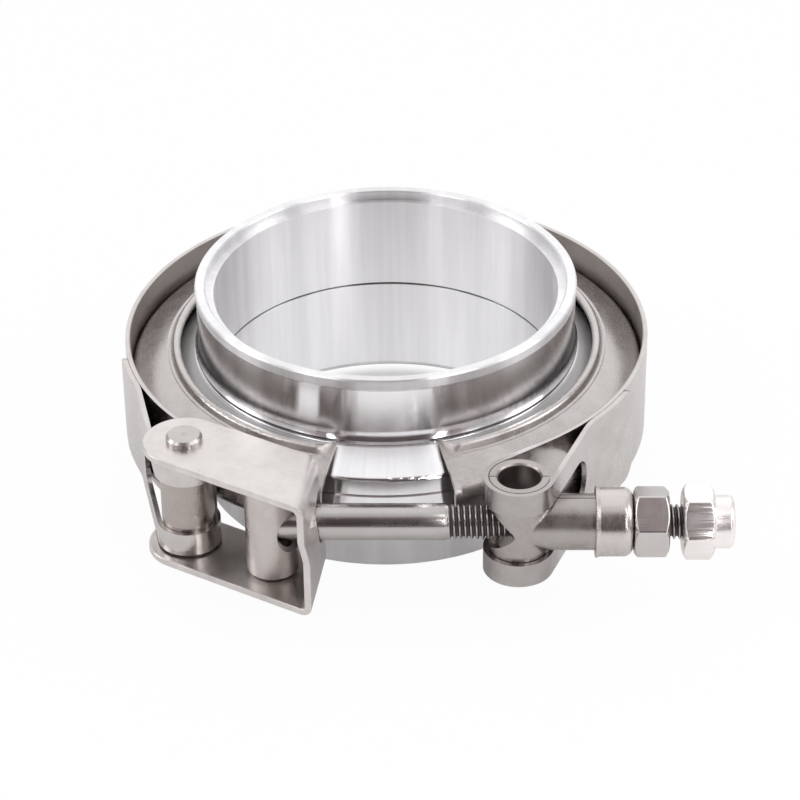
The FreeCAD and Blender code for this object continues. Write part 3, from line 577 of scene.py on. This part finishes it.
# %% World: bright above and behind, dark on the camera's side
WHITE = (1.0, 1.0, 1.0, 1.0)
WARM_DARK = (1.25, 0.95, 0.97, 1.0)
ROOM_WALL = 0.55
ROOM_CEILING = 0.80
ROOM_BACK = 0.48
ROOM_PANEL = 0.25
ROOM_FRONT = 0.06
FRONT_LIFT = math.radians(22)
FRONT_EDGE = math.radians(52)
FRONT_CORE = math.radians(28)


def soft_room():
    """World light: white to the camera, and a room with a dark front to the metal."""
    world = bpy.data.worlds.new("soft_room")
    world.use_nodes = True
    bpy.context.scene.world = world
    room = Maker(world.node_tree)
    x, y, z = room.parts(room.node("ShaderNodeTexCoord", output=0))
    side = x.math("ABSOLUTE")
    base = z.ease(-0.1, 0.8, ROOM_WALL, ROOM_CEILING)
    back = y.ease(0.2, 0.85) * z.ease(-0.1, 0.3)
    panels = (side - 0.72).math("ABSOLUTE").ease(0.22, 0.05) * z.ease(0.75, 0.45)
    light = base + back * ROOM_BACK - panels * ROOM_PANEL
    front = z * math.sin(FRONT_LIFT) - y * math.cos(FRONT_LIFT)
    dark = front.ease(math.cos(FRONT_EDGE), math.cos(FRONT_CORE))
    light = light * (1 - dark) + dark * ROOM_FRONT
    red, green, blue = room.parts(room.mix(dark, WHITE, WARM_DARK))
    color = room.vector(light * red, light * green, light * blue)
    path = room.tree.nodes.new("ShaderNodeLightPath")
    camera = Value(room, path.outputs["Is Camera Ray"])
    room.feed(room.tree.nodes["Background"].inputs["Color"], room.mix(camera, color, WHITE))
    return world


print("world:", soft_room().name)


# %% Floor: a white sheet that keeps a little of the shadow
FLOOR_REACH = 6.0
INSIDE_RADIUS = 36 * MM
CAMERA_GLOW = 0.96
INSIDE_GLOW = 0.15
GLOSSY_GLOW = 0.15
PAINTED_BORE_GLOW = 0.75
PAINTED_BACK_GLOW = 0.6


def white_sheet():
    """The floor: plain white paper that glows a little, so that its shadow stays faint.

    It glows less to the camera inside the flanges, where the photograph shows it grey. To the
    metal it glows more inside the flanges and towards the back: painted light that brightens
    the reflections in the bore and stands in for a bright wall behind.
    """
    reach = FLOOR_REACH
    corners = [(-reach, -reach), (reach, -reach), (reach, reach), (-reach, reach)]
    mesh = bpy.data.meshes.new("white_sheet")
    mesh.from_pydata([(x, y, cad_low[2]) for x, y in corners], [], [(0, 1, 2, 3)])
    floor = bpy.data.objects.new("white_sheet", mesh)
    bpy.context.scene.collection.objects.link(floor)
    paper = Finish("white_paper")
    paper.done(Base_Color=(0.9, 0.9, 0.9, 1.0), Roughness=0.9)
    x, y = paper.parts(paper.place)[:2]
    inside = (x * x + y * y).power(0.5).ease(INSIDE_RADIUS + 2 * MM, INSIDE_RADIUS - 2 * MM)
    towards_back = y.ease(0.1, 0.6)
    path = paper.tree.nodes.new("ShaderNodeLightPath")
    camera, glossy, through = [Value(paper, path.outputs[name]) for name in (
        "Is Camera Ray", "Is Glossy Ray", "Is Transmission Ray")]
    glow = paper.node("ShaderNodeEmission", None, {"Color": WHITE, "Strength": 1.0})
    seen = CAMERA_GLOW - inside * (CAMERA_GLOW - INSIDE_GLOW)
    # painted light: the sheet glows more to the metal inside the flanges and towards the back
    glow_and_painted_light = inside * PAINTED_BORE_GLOW + towards_back * PAINTED_BACK_GLOW + GLOSSY_GLOW
    share = (camera + through) * seen + glossy * glow_and_painted_light
    sheet = paper.node("ShaderNodeMixShader", None, {0: share, 2: glow})
    mixer = sheet.socket.node
    paper.tree.links.new(paper.shader.outputs[0], mixer.inputs[1])
    paper.tree.links.new(mixer.outputs[0], paper.tree.nodes["Material Output"].inputs[0])
    mesh.materials.append(paper.material)
    return floor


print("floor:", white_sheet().name)

# %% [markdown]
# ## Lamps
# The lamps add what the room can't: small bright things for the metal to show. One big lamp
# would be simpler, but it would be the same white patch in the bore and in every nut. So two
# thin strips and two narrow boxes at the front give the bore its upright streaks, two boxes at
# the sides draw the bright lines on the nuts' rounded corners, and a weak one overhead gives the
# faint shadow its shape.

# %% Lamps: soft boxes round the clamp
LAMP_DISTANCE = 0.9


def soft_box(name, heading, elevation, size, power):
    """Area lamp that looks at the clamp; heading is from the camera's side towards +X."""
    turn, lift = math.radians(heading), math.radians(elevation)
    place = Vector((math.sin(turn) * math.cos(lift), -math.cos(turn) * math.cos(lift),
                    math.sin(lift))) * LAMP_DISTANCE
    lamp = bpy.data.lights.new(name, "AREA")
    lamp.shape = "RECTANGLE"
    lamp.size, lamp.size_y = size
    lamp.energy = power
    box = bpy.data.objects.new(name, lamp)
    box.location = place
    box.rotation_euler = (-place).to_track_quat("-Z", "Y").to_euler()
    bpy.context.scene.collection.objects.link(box)
    return box


lamps = [
    soft_box("overhead_box", 180, 80, (0.7, 0.5), 0.3),
    soft_box("left_box", -52, 50, (0.10, 0.50), 0.6),
    soft_box("right_box", 54, 50, (0.10, 0.50), 0.6),
    soft_box("left_strip", -31, 24, (0.02, 0.50), 0.35),
    soft_box("right_strip", 31, 24, (0.035, 0.50), 1.2),
    soft_box("left_side", -88, 26, (0.35, 0.50), 1.5),
    soft_box("right_side", 86, 26, (0.35, 0.50), 1.5),
]
print("lamps:", len(lamps))

# %% [markdown]
# ## Camera
# The photograph looks down on the clamp from the front with a long lens. The view could be
# matched by eye, but a circle of known size says more: the angles and the distance come from
# circles such as the bore, fitted to their outlines.

# %% Camera at the photograph's angle
CAMERA_ELEVATION = 32.929
CAMERA_HEADING = 1.323
CAMERA_ROLL = 0.765
CAMERA_DISTANCE = 637.4 * MM
CAMERA_TARGET = Vector((2.8, -3.5, -5.6)) * MM
LENS = 132.66
SENSOR_WIDTH = 36.0


def photo_camera():
    """Camera that looks at the target from the fitted angles, rolled a little."""
    data = bpy.data.cameras.new("photo_camera")
    data.lens = LENS
    data.sensor_width = SENSOR_WIDTH
    camera = bpy.data.objects.new("photo_camera", data)
    elevation = math.radians(CAMERA_ELEVATION)
    heading = math.radians(CAMERA_HEADING)
    forward = Vector((-math.sin(heading) * math.cos(elevation),
                      math.cos(heading) * math.cos(elevation), -math.sin(elevation)))
    level = forward.cross(Vector((0, 0, 1))).normalized()
    down = forward.cross(level)
    roll = math.radians(CAMERA_ROLL)
    right = level * math.cos(roll) + down * math.sin(roll)
    up = right.cross(forward)
    turn = Matrix((right, up, -forward)).transposed().to_4x4()
    camera.matrix_world = Matrix.Translation(CAMERA_TARGET - forward * CAMERA_DISTANCE) @ turn
    bpy.context.scene.collection.objects.link(camera)
    bpy.context.scene.camera = camera
    return camera


photo_camera()
bpy.context.scene.view_settings.view_transform = "Standard"
